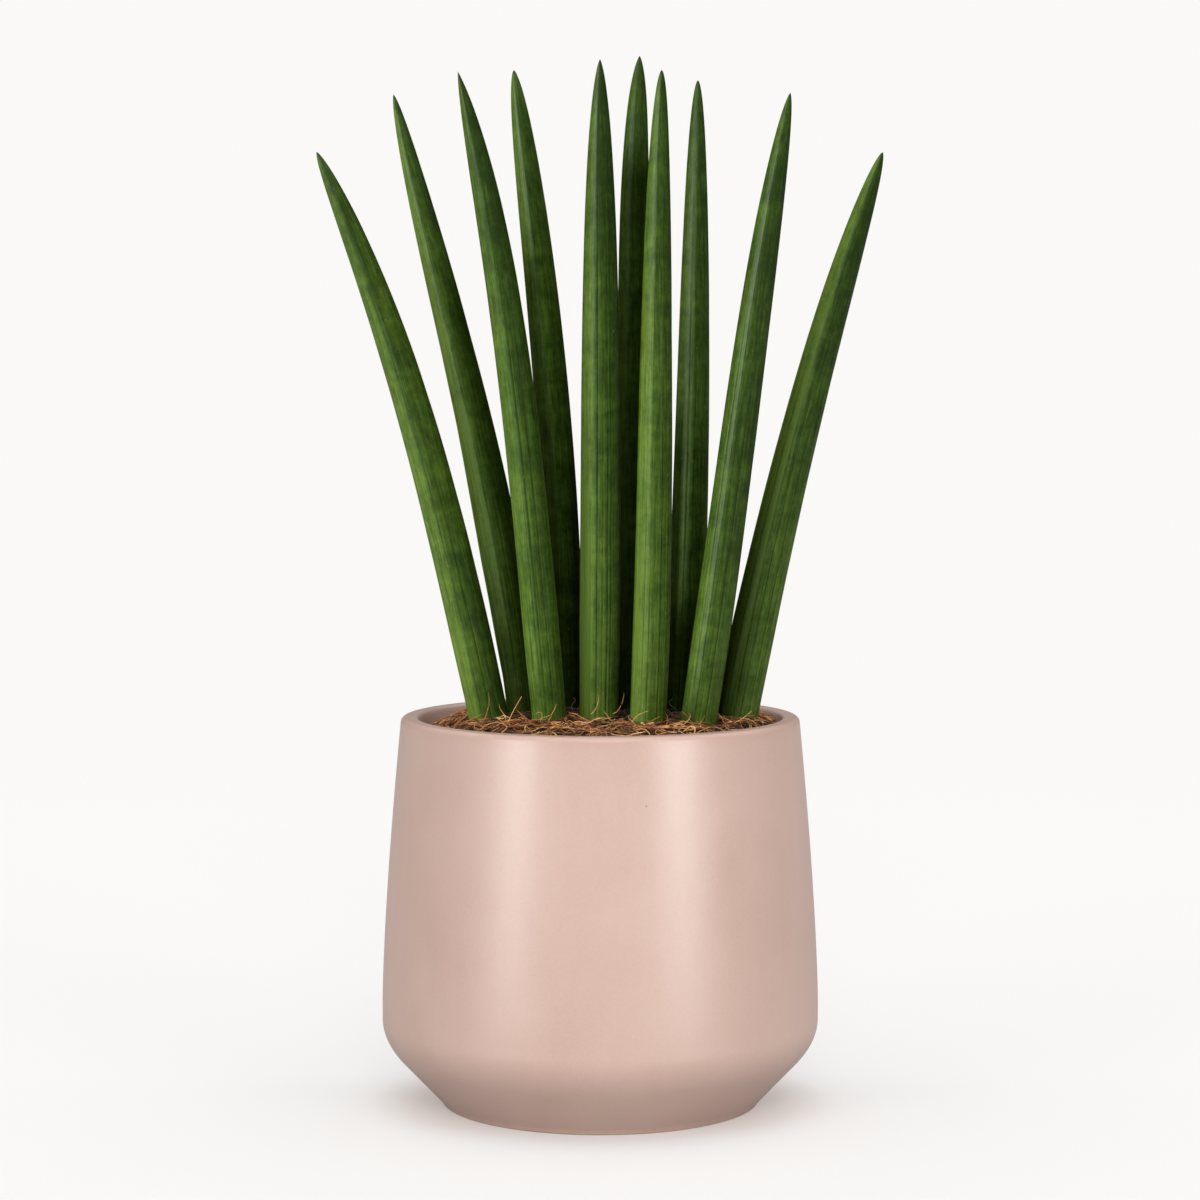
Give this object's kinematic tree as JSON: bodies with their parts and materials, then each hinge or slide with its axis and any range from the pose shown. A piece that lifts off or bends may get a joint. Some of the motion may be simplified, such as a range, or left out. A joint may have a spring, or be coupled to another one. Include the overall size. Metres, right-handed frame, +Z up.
{
  "type": "potted cylindrical snake plant",
  "caption": "Cylindrical snake plant: tall, pointed, round green leaves fanned out of coir-topped potting mix in a tapered, dusty-pink glazed ceramic pot.",
  "frame": {"origin": "on the pot's axis, at the centre of its foot ring, on the surface that the pot stands on", "axes": "+Z up along the pot's axis and the leaves; +X along the ranks of leaves, to the right as seen from the front; the front of the plant faces -Y"},
  "size_m": [0.2401, 0.1878, 0.4514],
  "materials": {
    "pot_glaze": "satin",
    "potting_mix": "matte",
    "coir": "matte",
    "rhizome": "matte",
    "leaf": "satin"
  },
  "bodies": {
    "root": {"pot": "pot_glaze", "potting_mix": "potting_mix", "coir_topping": "coir", "rhizome": "rhizome", "leaf_01": "leaf", "leaf_02": "leaf", "leaf_03": "leaf", "leaf_04": "leaf", "leaf_05": "leaf", "leaf_06": "leaf", "leaf_07": "leaf", "leaf_08": "leaf", "leaf_09": "leaf", "leaf_10": "leaf"}
  },
  "joints": []
}
